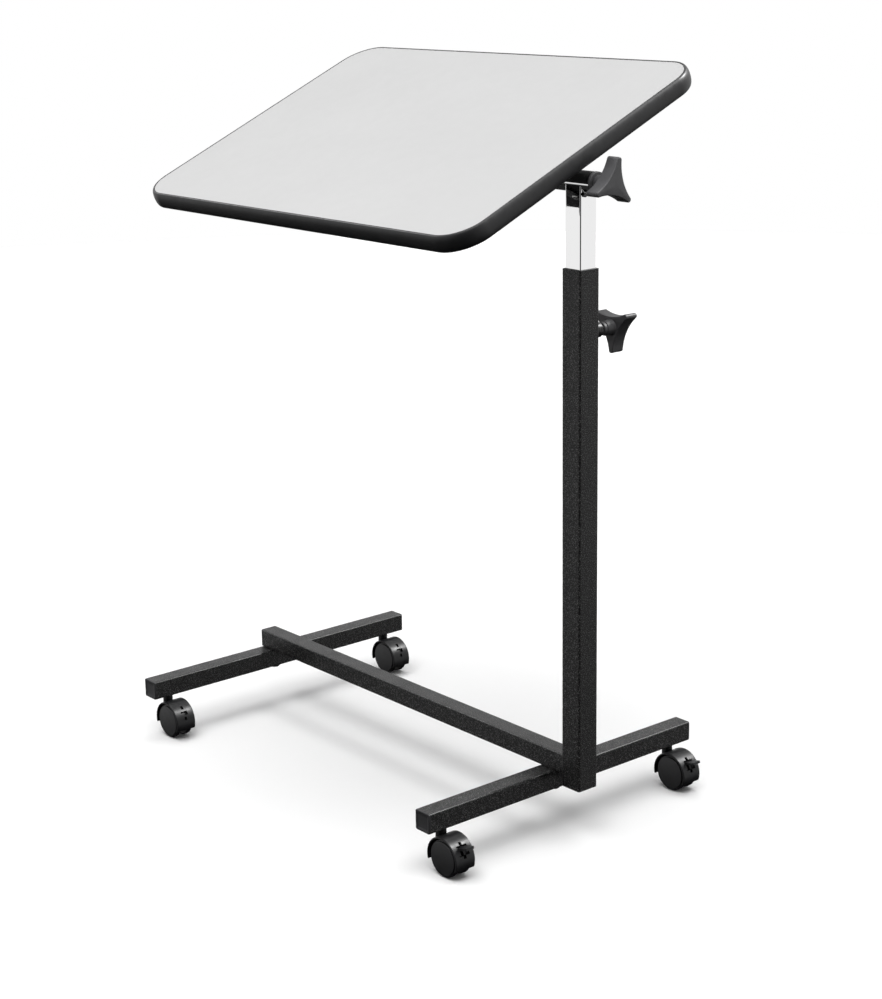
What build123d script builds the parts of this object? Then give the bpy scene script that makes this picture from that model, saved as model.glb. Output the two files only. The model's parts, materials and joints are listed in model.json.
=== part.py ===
from build123d import *
import os
from math import atan2, cos, degrees, hypot, radians, sin, sqrt

# Overbed table: an H base on four twin-wheel casters, a mast at one end of the spine with a
# sliding post, and a tabletop that tilts about a tube across the top of the post.
# Sizes are in millimetres, Z is up from the floor. The pieces are placed from the point on the
# floor under the mast's axis: the spine runs towards -X from it, the feet run along Y. At the
# end everything is moved so that the origin is on the floor under the whole object's middle.

# overall sizes
foot_length = 430.0        # each foot, cap to cap
foot_shift = 8.0           # the feet's middle lies this far towards +Y of the spine
spine_reach = 637.0        # mast axis to the far end of the spine
near_foot_gap = 16.0       # clear gap from the mast's face to the near foot
mast_length = 621.5
mast_drop = 13.4           # mast's lower end below the spine's underside
pivot_rise = 96.7          # mast's top to the tilt axis, as stored
post_travel_down = 65.0    # how far the post still lowers from there
post_foot_room = 3.0       # glide to the mast's bottom plug, fully lowered
table_length = 621.0       # over the edge band
table_width = 402.0        # over the edge band
table_thickness = 20.0
table_overhang = 26.0      # table's edge beyond the mast's axis
table_corner = 44.0        # plan radius of the table's corners
table_tilt = 24.2          # degrees, as stored

# tube stock
tube_side = 25.0
tube_wall = 1.5
tube_corner = 2.2
mast_wall = 1.5
mast_corner = 2.6
post_wall = 1.5
guide_wall = 0.9           # between the post and the mast's inside

# clearances
slide_gap = 0.1            # post in its guides, each side
turn_gap = 0.05            # shaft in a turning bore, radial
seat_gap = 0.02            # plug, pin or screw seated in its hole
face_gap = 0.3             # between faces of pieces that move past each other
hole_gap = 0.5             # screw in a plain hole, radial

# plugs and glides
cap_flange = 2.5
cap_depth = 12.0
cap_wall = 1.6
guide_length = 60.0
glide_height = 14.0
mast_plug_height = 15.0

# screws
screw_radius = 4.0         # M8
nut_side = 13.0
nut_height = 6.5
washer_radius = 8.0
washer_thickness = 1.5
dome_radius = 7.2
dome_height = 4.0
wood_screw_radius = 2.0
wood_screw_head = 4.0
wood_screw_depth = 13.0
strap_screw_radius = 2.5
strap_screw_head = 4.4
small_head_height = 2.4

# hand knobs and clamps
knob_reach = 30.0
knob_tip = 3.2             # rounding of each lobe's tip
knob_waist = 12.0          # axis to the middle of a side
knob_thickness = 18.0
knob_edge = 0.9
hub_radius = 8.5
hub_length = 10.5
stud_depth = 12.0          # stud inside the knob, past its hub
stud_inset = 3.0           # tilt stud's end inside the support tube's plug
spacer_radius = 7.6        # height stud's spacer, against its knob's hub
spacer_length = 4.5
clamp_drop = 72.8          # mast's top to the height clamp's axis
boss_radius = 9.0
boss_length = 12.0
stud_show = 4.5            # bare thread between the boss and the spacer
pad_radius = 3.7
pad_length = 2.6
height_knob_turn = 152.0   # degrees, a lobe's direction from +X towards +Z
tilt_knob_turn = 54.0      # degrees, a lobe's direction from the table's width

# tilt joint
sleeve_radius = 12.5
sleeve_wall = 1.5
sleeve_reach = 24.0        # mast axis to the sleeve's open end
sleeve_back = 50.0         # mast axis to the sleeve's other end
sleeve_lip = 1.0           # support tube's end inside the sleeve's open end
notch_drop = 3.5           # post's top below the tilt axis
drain_radius = 2.3
drain_drop = 12.6          # tilt axis to the drain hole
drain_inset = 3.3          # post's edge to the drain hole
support_wall = 1.5
support_inset = 95.0       # table's far edge to the support tube's end
collar_step = 1.5          # collar's radius beyond the sleeve's
collar_length = 8.0
plug_length = 20.0
washer_depth = 3.2         # friction washer
washer_inset = 0.2         # its rim inside the sleeve's

# table frame
arm_thickness = 3.0
arm_width = 30.0
arm_inset = 51.0           # table's long edge to the arm's end
arm_corner = 6.0
near_arm_place = 120.0     # mast axis to the near arm
far_arm_inset = 50.0       # support tube's end to the far arm
arm_hole_place = 60.0      # tilt axis to the inner screw
arm_hole_inset = 15.0      # arm's end to the outer screw
rail_width = 50.0
rail_height = 8.9
rail_wall = 1.5
rail_corner = 1.6
rail_start = 66.0          # mast axis to the rail's near end
strap_step = 45.0          # arm to the strap beside it
strap_width = 22.0
strap_thickness = 2.0
strap_foot = 10.0

# table top
laminate = 0.8
backing = 0.6
band_width = 3.6           # edge band, from the board outwards
band_round = 2.4           # rounding of its two outer edges
band_lip = 0.4             # how far it stands above and below the table's faces

# casters
caster_inset = 27.5        # foot's end to the swivel axis
caster_trail = 17.4
wheel_radius = 23.0
wheel_width = 8.2
wheel_edge = 1.2
wheel_gap = 1.5            # wheel to the hood, radial
web_half = 5.5
web_clearance = 0.5
hood_wall = 2.0
hood_edge = 1.3
hood_rim = 0.3             # hood's rim beyond the wheel's face
skirt_rear = 8.5           # hood's lower edge below the wheel centre
skirt_front = 6.5
neck_radius = 6.5
neck_height = 6.0
stem_seat = 8.5            # stem's lower end above the wheel centre
axle_radius = 3.0
axle_skin = 1.6            # wheel's closed outer face over the axle's end
slot_half = 2.0
slot_angles = (12.0, 57.0)
window_half = 7.6
window_depth = 4.0
window_angles = (20.0, 48.0)
blank_slots = ((12.0, 22.0, 1.8), (27.0, 39.0, 5.0), (45.0, 57.0, 1.8))
lever_depth = 5.3          # hood's outer radius to the lever's pin
lever_pin = 1.5
lever_rise = 1.0           # tab's middle above the pin
lever_blade = 3.4
lever_tab = 14.0
lever_thickness = 2.8
lever_length = 13.6        # tab, from the hood outwards
lever_lift = 14.0          # degrees, the released lever's slope
lever_tab_corner = 2.0

# levels and places that follow from the sizes above
hood_radius = wheel_radius + wheel_gap + hood_wall
hood_half = web_half + web_clearance + wheel_width + hood_rim
foot_bottom = wheel_radius + hood_radius + neck_height
foot_top = foot_bottom + tube_side
spine_middle = foot_top + tube_side / 2
post_side = tube_side
post_face = post_side / 2
mast_side = post_side + 2 * (slide_gap + guide_wall + mast_wall)
mast_face = mast_side / 2
mast_inner = mast_side - 2 * mast_wall
mast_bottom = foot_top - mast_drop
mast_top = mast_bottom + mast_length
clamp_height = mast_top - clamp_drop
near_foot_x = -(mast_face + near_foot_gap + tube_side / 2)
far_foot_x = -(spine_reach - tube_side / 2)
foot_places = (near_foot_x, far_foot_x)
stem_offset = foot_length / 2 - caster_inset
stem_places = {
    "near_left": (near_foot_x, foot_shift - stem_offset),
    "near_right": (near_foot_x, foot_shift + stem_offset),
    "far_left": (far_foot_x, foot_shift - stem_offset),
    "far_right": (far_foot_x, foot_shift + stem_offset),
}
braked_casters = ("near_left", "near_right")
pivot_height = mast_top + pivot_rise
post_top = pivot_height - notch_drop
glide_bottom = mast_bottom + mast_plug_height + post_foot_room + post_travel_down
post_bottom = glide_bottom + glide_height
support_radius = sleeve_radius - sleeve_wall - turn_gap
support_start = sleeve_reach - sleeve_lip
support_reach = table_length - table_overhang - support_inset
collar_radius = sleeve_radius + collar_step
rail_bottom = support_radius + seat_gap
underside = rail_bottom + rail_height + arm_thickness
table_rise = underside + table_thickness
table_middle = table_overhang - table_length / 2
board_length = table_length - 2 * band_width
board_width = table_width - 2 * band_width
board_corner = table_corner - band_width
arm_length = table_width - 2 * arm_inset
arm_places = (-near_arm_place, far_arm_inset - support_reach)
arm_holes = (arm_hole_place, arm_length / 2 - arm_hole_inset)
strap_places = (arm_places[0] - strap_step, arm_places[1] + strap_step)
lever_pivot = (hood_radius - lever_depth) * cos(radians(45))
lever_level = lever_pivot + lever_rise
lever_root = sqrt(hood_radius**2 - lever_level**2) + face_gap - lever_pivot

along_x = Rot(0, 90, 0)
along_y = Rot(-90, 0, 0)
tilted = Pos(0, 0, pivot_height) * Rot(table_tilt, 0, 0)


def rod(radius, length):
    """A cylinder standing on the XY plane."""
    return Cylinder(radius, length, align=(Align.CENTER, Align.CENTER, Align.MIN))


def bar(side_x, side_y, length, corner):
    """A bar with rounded long edges, standing on the XY plane."""
    return extrude(RectangleRounded(side_x, side_y, corner), length)


def square_tube(side, wall, corner, length):
    inner_side = side - 2 * wall
    inner_corner = max(corner - wall, 0.4)
    return bar(side, side, length, corner) - bar(inner_side, inner_side, length, inner_corner)


def round_tube(radius, bore, length):
    return rod(radius, length) - rod(bore, length)


def together(solids):
    return Compound(list(solids))


def square_nut():
    return bar(nut_side, nut_side, nut_height, 0.8) - rod(screw_radius + seat_gap, nut_height)


# ---- base ----

def spine_tube():
    length = spine_reach - cap_flange - mast_face
    tube = Pos(-(spine_reach - cap_flange), 0, spine_middle) * along_x
    tube = tube * square_tube(tube_side, tube_wall, tube_corner, length)
    for x in foot_places:
        tube -= Pos(x, 0, foot_top - tube_wall) * rod(screw_radius + hole_gap, 3 * tube_wall)
    return tube


def foot_tube(x):
    length = foot_length - 2 * cap_flange
    start = foot_shift - length / 2
    tube = Pos(x, start, foot_bottom + tube_side / 2) * along_y
    tube = tube * square_tube(tube_side, tube_wall, tube_corner, length)
    tube -= Pos(x, 0, foot_bottom - tube_wall) * rod(screw_radius + hole_gap, tube_side + 3 * tube_wall)
    for side in (-1, 1):
        y = foot_shift + side * stem_offset
        tube -= Pos(x, y, foot_bottom - tube_wall) * rod(screw_radius + hole_gap, 3 * tube_wall)
    return tube


def end_cap(depth):
    """Moulded plug for a square tube: its flange reaches up from the XY plane, its skirt down."""
    flange = bar(tube_side, tube_side, cap_flange, tube_corner)
    flange = fillet(flange.faces().sort_by(Axis.Z)[-1].edges(), 1.0)
    skirt_side = tube_side - 2 * tube_wall - 2 * seat_gap
    skirt_corner = max(tube_corner - tube_wall, 0.4)
    skirt = square_tube(skirt_side, cap_wall, skirt_corner, depth)
    return flange + Pos(0, 0, -depth) * skirt


def foot_end_caps():
    caps = []
    for x in foot_places:
        for side in (-1, 1):
            y = foot_shift + side * (foot_length / 2 - cap_flange)
            place = Pos(x, y, foot_bottom + tube_side / 2) * Rot(-90 * side, 0, 0)
            caps.append(place * end_cap(cap_depth))
    return together(caps)


def spine_end_cap():
    depth = (tube_side - nut_side) / 2 - cap_flange - hole_gap
    return Pos(-(spine_reach - cap_flange), 0, spine_middle) * Rot(0, -90, 0) * end_cap(depth)


def foot_bolts():
    bolts = []
    for x in foot_places:
        head = rod(dome_radius, dome_height)
        head = fillet(head.edges().sort_by(Axis.Z)[0], dome_height * 0.8)
        shank = rod(screw_radius, dome_height + washer_thickness + tube_side + tube_wall + nut_height + 2)
        bolts.append(Pos(x, 0, foot_bottom - washer_thickness - dome_height) * (head + shank))
    return together(bolts)


def foot_bolt_washers():
    ring = round_tube(washer_radius, screw_radius + seat_gap, washer_thickness)
    return together([Pos(x, 0, foot_bottom - washer_thickness) * ring for x in foot_places])


def spine_weld_nuts():
    return together([Pos(x, 0, foot_top + tube_wall) * square_nut() for x in foot_places])


def caster_weld_nuts():
    level = foot_bottom + tube_wall
    return together([Pos(x, y, level) * square_nut() for x, y in stem_places.values()])


def mast_tube():
    tube = Pos(0, 0, mast_bottom) * square_tube(mast_side, mast_wall, mast_corner, mast_length)
    hole = rod(pad_radius + face_gap, 3 * mast_wall)
    return tube - Pos(0, mast_face - 2 * mast_wall, clamp_height) * along_y * hole


def mast_guide():
    outer = mast_inner - 2 * seat_gap
    inner = post_side + 2 * slide_gap
    corner = max(mast_corner - mast_wall, 0.4)
    guide = bar(outer, outer, guide_length, corner) - bar(inner, inner, guide_length, tube_corner)
    return Pos(0, 0, mast_top - guide_length) * guide


def mast_bottom_plug():
    side = mast_inner - 2 * seat_gap
    corner = max(mast_corner - mast_wall, 0.4)
    return Pos(0, 0, mast_bottom) * bar(side, side, mast_plug_height, corner)


def clamp_boss():
    boss = round_tube(boss_radius, screw_radius + turn_gap, boss_length)
    return Pos(0, mast_face, clamp_height) * along_y * boss


# ---- height clamp ----

pad_start = post_face + turn_gap
stud_start = pad_start + pad_length + turn_gap
spacer_start = mast_face + boss_length + stud_show
height_hub_start = spacer_start + spacer_length


def height_pad():
    return Pos(0, pad_start, clamp_height) * along_y * rod(pad_radius, pad_length)


def height_stud():
    length = height_hub_start + hub_length + stud_depth - stud_start
    return Pos(0, stud_start, clamp_height) * along_y * rod(screw_radius, length)


def height_spacer():
    spacer = round_tube(spacer_radius, screw_radius + seat_gap, spacer_length)
    spacer = fillet(spacer.edges().group_by(Axis.Z)[0].sort_by(SortBy.RADIUS)[-1], 1.0)
    return Pos(0, spacer_start, clamp_height) * along_y * spacer


def knob_outline():
    """Three lobes: a round tip on each, joined by hollow sides tangent to the tips."""
    tip_centre = knob_reach - knob_tip
    waist = knob_waist - knob_tip
    hollow_centre = (tip_centre**2 - waist**2) / (tip_centre - 2 * waist)
    hollow_radius = hollow_centre - knob_waist
    edges = []
    for lobe in range(3):
        here = radians(120 * lobe)
        tip = (tip_centre * cos(here), tip_centre * sin(here))
        touches = []
        for side in (-1, 1):
            mid = here + side * radians(60)
            centre = (hollow_centre * cos(mid), hollow_centre * sin(mid))
            span = hypot(tip[0] - centre[0], tip[1] - centre[1])
            share = hollow_radius / span
            touches.append(tuple(c + (t - c) * share for c, t in zip(centre, tip)))
        peak = (knob_reach * cos(here), knob_reach * sin(here))
        edges.append(ThreePointArc(touches[0], peak, touches[1]))
        mid = here + radians(60)
        waist_point = (knob_waist * cos(mid), knob_waist * sin(mid))
        next_touch = Vector(*touches[0]).rotate(Axis.Z, 120)
        edges.append(ThreePointArc(touches[1], waist_point, next_touch))
    return make_face(edges)


def hand_knob():
    """Three-lobed knob along +Z: its hub starts at the XY plane and is bored for the stud."""
    grip = extrude(knob_outline(), knob_thickness)
    grip = fillet(grip.edges().group_by(Axis.Z)[0] + grip.edges().group_by(Axis.Z)[-1], knob_edge)
    knob = Pos(0, 0, hub_length) * grip + rod(hub_radius, hub_length)
    return knob - rod(screw_radius + seat_gap, hub_length + stud_depth + 1)


def height_knob():
    place = Plane(origin=(0, height_hub_start, clamp_height), x_dir=(1, 0, 0), z_dir=(0, 1, 0))
    return place.location * Rot(0, 0, -height_knob_turn) * hand_knob()


# ---- sliding post ----

def inner_post():
    post = Pos(0, 0, post_bottom) * square_tube(post_side, post_wall, tube_corner, post_top - post_bottom)
    saddle = Pos(-post_side, 0, pivot_height) * along_x * rod(sleeve_radius + seat_gap, 2 * post_side)
    drain = Pos(0, drain_inset - post_face, pivot_height - drain_drop) * along_x * rod(drain_radius, post_side)
    return post - saddle - drain


def post_glide():
    outer = mast_inner - 2 * slide_gap
    inner = post_side - 2 * post_wall - 2 * seat_gap
    flange = bar(outer, outer, glide_height, tube_corner)
    spigot = bar(inner, inner, 2 * glide_height, max(tube_corner - post_wall, 0.4))
    return Pos(0, 0, glide_bottom) * (flange + spigot)


def pivot_sleeve():
    sleeve = round_tube(sleeve_radius, sleeve_radius - sleeve_wall, sleeve_reach + sleeve_back)
    return Pos(-sleeve_back, 0, pivot_height) * along_x * sleeve


# ---- table: every piece is placed level about the tilt axis, then tilted ----

def support_tube():
    tube = round_tube(support_radius, support_radius - support_wall, support_start + support_reach)
    return tilted * Pos(-support_reach, 0, 0) * along_x * tube


def thrust_collar():
    ring = round_tube(collar_radius, support_radius + seat_gap, collar_length)
    return tilted * Pos(-sleeve_back - face_gap - collar_length, 0, 0) * along_x * ring


def support_plug():
    plug = round_tube(support_radius - support_wall - seat_gap, screw_radius + turn_gap, plug_length)
    return tilted * Pos(support_start - plug_length, 0, 0) * along_x * plug


def support_end_cap():
    flange = fillet(rod(support_radius, cap_flange).edges().sort_by(Axis.Z)[-1], 1.0)
    stub = rod(support_radius - support_wall - seat_gap, cap_depth)
    return tilted * Pos(-support_reach, 0, 0) * Rot(0, -90, 0) * (flange + Pos(0, 0, -cap_depth) * stub)


def cross_arm(x):
    arm = Box(arm_width, arm_length, arm_thickness, align=(Align.CENTER, Align.CENTER, Align.MAX))
    arm = fillet(arm.edges().filter_by(Axis.Z), arm_corner)
    for y in arm_holes:
        for side in (-1, 1):
            arm -= Pos(0, side * y, -2 * arm_thickness) * rod(wood_screw_radius + hole_gap, 3 * arm_thickness)
    return tilted * Pos(x, 0, underside) * arm


def table_rail():
    length = support_reach - rail_start
    outer = Box(length, rail_width, rail_height, align=(Align.MIN, Align.CENTER, Align.MIN))
    outer = fillet(outer.edges().filter_by(Axis.X), rail_corner)
    hollow = Box(length, rail_width - 2 * rail_wall, rail_height - 2 * rail_wall,
                 align=(Align.MIN, Align.CENTER, Align.MIN))
    rail = Pos(-support_reach, 0, rail_bottom) * (outer - Pos(0, 0, rail_wall) * hollow)
    for x in strap_places:
        for y in strap_screw_places():
            rail -= Pos(x, y, rail_bottom - rail_wall) * rod(strap_screw_radius + hole_gap, 3 * rail_wall)
    return tilted * rail


def strap_screw_places():
    middle = support_radius + strap_thickness + strap_foot / 2
    return (-middle, middle)


def tube_straps():
    bore = support_radius + seat_gap
    outer = bore + strap_thickness
    foot_end = outer + strap_foot
    straps = []
    for x in strap_places:
        strap = along_x * rod(outer, strap_width)
        strap += Box(strap_width, 2 * outer, rail_bottom, align=(Align.MIN, Align.CENTER, Align.MIN))
        strap += Pos(0, 0, rail_bottom - strap_thickness) * Box(
            strap_width, 2 * foot_end, strap_thickness, align=(Align.MIN, Align.CENTER, Align.MIN))
        strap -= along_x * rod(bore, strap_width)
        strap -= Box(strap_width, 2 * bore, outer + bore, align=(Align.MIN, Align.CENTER, Align.MIN))
        strap -= Pos(0, 0, rail_bottom) * Box(
            strap_width, 4 * foot_end, outer, align=(Align.MIN, Align.CENTER, Align.MIN))
        for y in strap_screw_places():
            strap -= Pos(strap_width / 2, y, 0) * rod(strap_screw_radius + hole_gap, rail_bottom + 1)
        straps.append(tilted * Pos(x - strap_width / 2, 0, 0) * strap)
    return together(straps)


def pan_screw(radius, head_radius, length):
    """Head below the XY plane, shank above it."""
    head = Pos(0, 0, -small_head_height) * rod(head_radius, small_head_height)
    head = fillet(head.edges().sort_by(Axis.Z)[0], small_head_height * 0.6)
    return head + rod(radius, length)


def strap_screws():
    level = rail_bottom - strap_thickness
    length = strap_thickness + rail_height * 0.7
    screw = pan_screw(strap_screw_radius, strap_screw_head, length)
    return together([tilted * Pos(x, y, level) * screw for x in strap_places for y in strap_screw_places()])


def arm_screws():
    level = underside - arm_thickness
    screw = pan_screw(wood_screw_radius, wood_screw_head, arm_thickness + wood_screw_depth)
    places = [(x, side * y) for x in arm_places for y in arm_holes for side in (-1, 1)]
    return together([tilted * Pos(x, y, level) * screw for x, y in places])


def screw_pilots(sheet):
    for x in arm_places:
        for y in arm_holes:
            for side in (-1, 1):
                pilot = rod(wood_screw_radius + seat_gap, arm_thickness + wood_screw_depth + 1)
                sheet -= Pos(x, side * y, underside - arm_thickness) * pilot
    return sheet


def table_sheet(bottom, thickness):
    sheet = bar(board_length, board_width, thickness, board_corner)
    return Pos(table_middle, 0, bottom) * sheet


def table_board():
    thickness = table_thickness - laminate - backing
    return tilted * screw_pilots(table_sheet(underside + backing, thickness))


def table_laminate():
    return tilted * table_sheet(table_rise - laminate, laminate)


def table_backing():
    return tilted * screw_pilots(table_sheet(underside, backing))


def edge_band():
    """A strip with rounded outer edges, carried round the board's edge."""
    half = table_thickness / 2 + band_lip
    inner = board_width / 2 + seat_gap
    outer = board_width / 2 + band_width
    turn, lean = outer - band_round, band_round * cos(radians(45))
    outline = [
        Line((inner, -half), (turn, -half)),
        ThreePointArc((turn, -half), (turn + lean, band_round - half - lean), (outer, band_round - half)),
        Line((outer, band_round - half), (outer, half - band_round)),
        ThreePointArc((outer, half - band_round), (turn + lean, half - band_round + lean), (turn, half)),
        Line((turn, half), (inner, half)),
        Line((inner, half), (inner, -half)),
    ]
    section = Plane(origin=(0, 0, 0), x_dir=(0, 1, 0), z_dir=(1, 0, 0)) * make_face(outline)
    path = RectangleRounded(board_length, board_width, board_corner).wire()
    band = sweep(section, path=path)
    return tilted * Pos(table_middle, 0, underside + table_thickness / 2) * band


# ---- tilt clamp ----

tilt_washer_start = sleeve_reach + turn_gap
tilt_hub_start = tilt_washer_start + washer_depth + turn_gap


def tilt_washer():
    ring = round_tube(sleeve_radius - washer_inset, screw_radius + face_gap, washer_depth)
    ring = fillet(ring.edges().group_by(Axis.Z)[-1].sort_by(SortBy.RADIUS)[-1], 0.8)
    return tilted * Pos(tilt_washer_start, 0, 0) * along_x * ring


def tilt_stud():
    start = support_start - plug_length + stud_inset
    length = tilt_hub_start + hub_length + stud_depth - start
    return tilted * Pos(start, 0, 0) * along_x * rod(screw_radius, length)


def tilt_knob():
    place = Plane(origin=(tilt_hub_start, 0, 0), x_dir=(0, 1, 0), z_dir=(1, 0, 0))
    return tilted * place.location * Rot(0, 0, tilt_knob_turn) * hand_knob()


# ---- casters: each is made about its wheel centre, trailing towards +X ----

def across(radius, start, end):
    """A cylinder along Y from start to end."""
    return Pos(0, start, 0) * along_y * rod(radius, end - start)


def shell_slot(first, last, half, inner):
    """A cut through the hood's wall between two angles from +X towards +Z."""
    reach = 2 * hood_radius
    corners = [(0, 0)] + [(reach * cos(radians(a)), reach * sin(radians(a))) for a in (first, last)]
    wedge = extrude(Plane.XZ * make_face(Polyline(*corners, close=True)), half, both=True)
    ring = across(hood_radius + 2, -half, half) - across(inner, -half, half)
    return wedge & ring


def caster_hood(braked):
    hood = across(hood_radius, -hood_half, hood_half)
    hood = fillet(hood.edges().filter_by(GeomType.CIRCLE), hood_edge)
    neck_top = hood_radius - face_gap
    hood += Pos(-caster_trail, 0, 0) * rod(neck_radius, neck_top)
    for side in (-1, 1):
        ends = sorted((side * web_half, side * (hood_half + 1)))
        hood -= across(wheel_radius + wheel_gap, *ends)
    lean = Rot(0, degrees(atan2(skirt_rear - skirt_front, 2 * hood_radius)), 0)
    below = Box(4 * hood_radius, 3 * hood_half, 2 * hood_radius, align=(Align.CENTER, Align.CENTER, Align.MAX))
    hood -= Pos(0, 0, -(skirt_front + skirt_rear) / 2) * lean * below
    hood -= across(axle_radius + seat_gap, -web_half - 1, web_half + 1)
    bore_start = stem_seat - 0.5
    hood -= Pos(-caster_trail, 0, bore_start) * rod(screw_radius + turn_gap, 2 * hood_radius)
    if braked:
        hood -= shell_slot(*slot_angles, slot_half, lever_pivot)
        hood -= shell_slot(*window_angles, window_half, hood_radius - window_depth)
        hood -= Pos(lever_pivot, 0, lever_pivot) * across(lever_blade, -slot_half, slot_half)
        hood -= Pos(lever_pivot, 0, lever_pivot) * across(lever_pin + turn_gap, -web_half - 1, web_half + 1)
    else:
        for first, last, half in blank_slots:
            hood -= shell_slot(first, last, half, wheel_radius)
    return hood


def brake_lever():
    """Made about its pin with the tab along +X, then lifted and placed."""
    start = (Align.MIN, Align.CENTER, Align.CENTER)
    blade = across(lever_thickness, -lever_blade / 2, lever_blade / 2)
    blade += Pos(0, 0, lever_rise) * Box(lever_root + 1, lever_blade, lever_thickness, align=start)
    tab = Box(lever_length, lever_tab, lever_thickness, align=start)
    tab = fillet(tab.edges().filter_by(Axis.Z).group_by(Axis.X)[-1], lever_tab_corner)
    pin_end = web_half - 0.2
    lever = blade + Pos(lever_root, 0, lever_rise) * tab + across(lever_pin, -pin_end, pin_end)
    return Pos(lever_pivot, 0, lever_pivot) * Rot(0, -lever_lift, 0) * lever


def caster_wheel(side):
    inner = web_half + web_clearance
    wheel = across(wheel_radius, inner, inner + wheel_width)
    wheel = fillet(wheel.edges().filter_by(GeomType.CIRCLE), wheel_edge)
    wheel -= across(axle_radius + turn_gap, inner - 1, inner + wheel_width - axle_skin)
    return wheel if side > 0 else Rot(0, 0, 180) * wheel


def caster_axle():
    end = web_half + web_clearance + wheel_width - axle_skin - 0.3
    return across(axle_radius, -end, end)


def caster_stem(x, y):
    """Threaded into the foot's nut above its collar, a plain pin in the hood below it."""
    low = wheel_radius + stem_seat
    high = foot_bottom + tube_wall + nut_height + 2
    pin = Pos(x, y, low) * rod(screw_radius, high - low)
    return pin + Pos(x, y, foot_bottom - neck_height) * rod(neck_radius, neck_height)


nodes = {
    "spine_tube": spine_tube(),
    "near_foot_tube": foot_tube(near_foot_x),
    "far_foot_tube": foot_tube(far_foot_x),
    "foot_end_caps": foot_end_caps(),
    "spine_end_cap": spine_end_cap(),
    "foot_bolts": foot_bolts(),
    "foot_bolt_washers": foot_bolt_washers(),
    "spine_weld_nuts": spine_weld_nuts(),
    "caster_weld_nuts": caster_weld_nuts(),
    "mast_tube": mast_tube(),
    "mast_guide": mast_guide(),
    "mast_bottom_plug": mast_bottom_plug(),
    "clamp_boss": clamp_boss(),
    "height_pad": height_pad(),
    "height_stud": height_stud(),
    "height_spacer": height_spacer(),
    "height_knob": height_knob(),
    "inner_post": inner_post(),
    "post_glide": post_glide(),
    "pivot_sleeve": pivot_sleeve(),
    "support_tube": support_tube(),
    "thrust_collar": thrust_collar(),
    "support_plug": support_plug(),
    "support_end_cap": support_end_cap(),
    "cross_arm_near": cross_arm(arm_places[0]),
    "cross_arm_far": cross_arm(arm_places[1]),
    "table_rail": table_rail(),
    "tube_straps": tube_straps(),
    "strap_screws": strap_screws(),
    "arm_screws": arm_screws(),
    "table_board": table_board(),
    "table_laminate": table_laminate(),
    "table_backing": table_backing(),
    "edge_band": edge_band(),
    "tilt_washer": tilt_washer(),
    "tilt_stud": tilt_stud(),
    "tilt_knob": tilt_knob(),
}
for corner, (x, y) in stem_places.items():
    wheel_centre = Pos(x + caster_trail, y, wheel_radius)
    nodes[f"{corner}_stem"] = caster_stem(x, y)
    nodes[f"{corner}_hood"] = wheel_centre * caster_hood(corner in braked_casters)
    nodes[f"{corner}_axle"] = wheel_centre * caster_axle()
    nodes[f"{corner}_wheel_a"] = wheel_centre * caster_wheel(-1)
    nodes[f"{corner}_wheel_b"] = wheel_centre * caster_wheel(1)
    if corner in braked_casters:
        nodes[f"{corner}_brake_lever"] = wheel_centre * brake_lever()

knob_front = tilt_hub_start + hub_length + knob_thickness
to_middle = Pos((spine_reach - knob_front) / 2, -foot_shift, 0)

os.makedirs("parts", exist_ok=True)
for name, shape in nodes.items():
    export_step(to_middle * shape, f"parts/{name}.step")
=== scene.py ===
import json
from math import cos, pi, radians, sin

import bmesh
import bpy
import numpy as np
from mathutils import Matrix, Vector


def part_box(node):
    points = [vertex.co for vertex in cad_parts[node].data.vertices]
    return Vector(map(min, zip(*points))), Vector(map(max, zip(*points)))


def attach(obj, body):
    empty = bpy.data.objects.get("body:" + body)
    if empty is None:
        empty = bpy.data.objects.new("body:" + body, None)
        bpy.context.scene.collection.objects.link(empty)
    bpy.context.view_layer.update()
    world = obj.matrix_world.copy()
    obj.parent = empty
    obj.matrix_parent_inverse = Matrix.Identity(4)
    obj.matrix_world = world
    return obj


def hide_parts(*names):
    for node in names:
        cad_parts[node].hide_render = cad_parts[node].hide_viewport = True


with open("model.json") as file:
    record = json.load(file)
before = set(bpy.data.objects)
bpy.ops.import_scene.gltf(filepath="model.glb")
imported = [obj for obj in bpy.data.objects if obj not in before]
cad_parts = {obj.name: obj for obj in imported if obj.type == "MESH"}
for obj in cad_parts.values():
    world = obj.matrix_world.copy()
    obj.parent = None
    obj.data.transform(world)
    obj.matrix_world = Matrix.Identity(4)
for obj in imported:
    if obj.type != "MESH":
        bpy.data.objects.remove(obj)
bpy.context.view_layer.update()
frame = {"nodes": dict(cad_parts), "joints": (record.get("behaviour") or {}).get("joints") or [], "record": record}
cadNodes = frame["nodes"]
joints = {joint["name"]: joint for joint in frame["joints"]}
print("frame loaded:", len(cadNodes), "nodes")

mm = 0.001
fullTurn = 2 * pi
mastLow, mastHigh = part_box("mast_tube")
mastX, mastY = (mastLow.x + mastHigh.x) / 2, (mastLow.y + mastHigh.y) / 2
mastFoot = Vector((mastX, mastY, 0))


# evenly spaced angles, given in degrees
def arc(first, last, count):
    return np.linspace(radians(first), radians(last), count)


# quads between neighbouring rows and columns of a grid of points, which may close on itself
def gridFaces(rows, cols, wrapRows, wrapCols):
    i, j = np.meshgrid(np.arange(rows if wrapRows else rows - 1),
                       np.arange(cols if wrapCols else cols - 1), indexing="ij")
    below, beside = (i + 1) % rows, (j + 1) % cols
    corners = [i * cols + j, i * cols + beside, below * cols + beside, below * cols + j]
    return np.stack(corners, -1).reshape(-1, 4)


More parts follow.
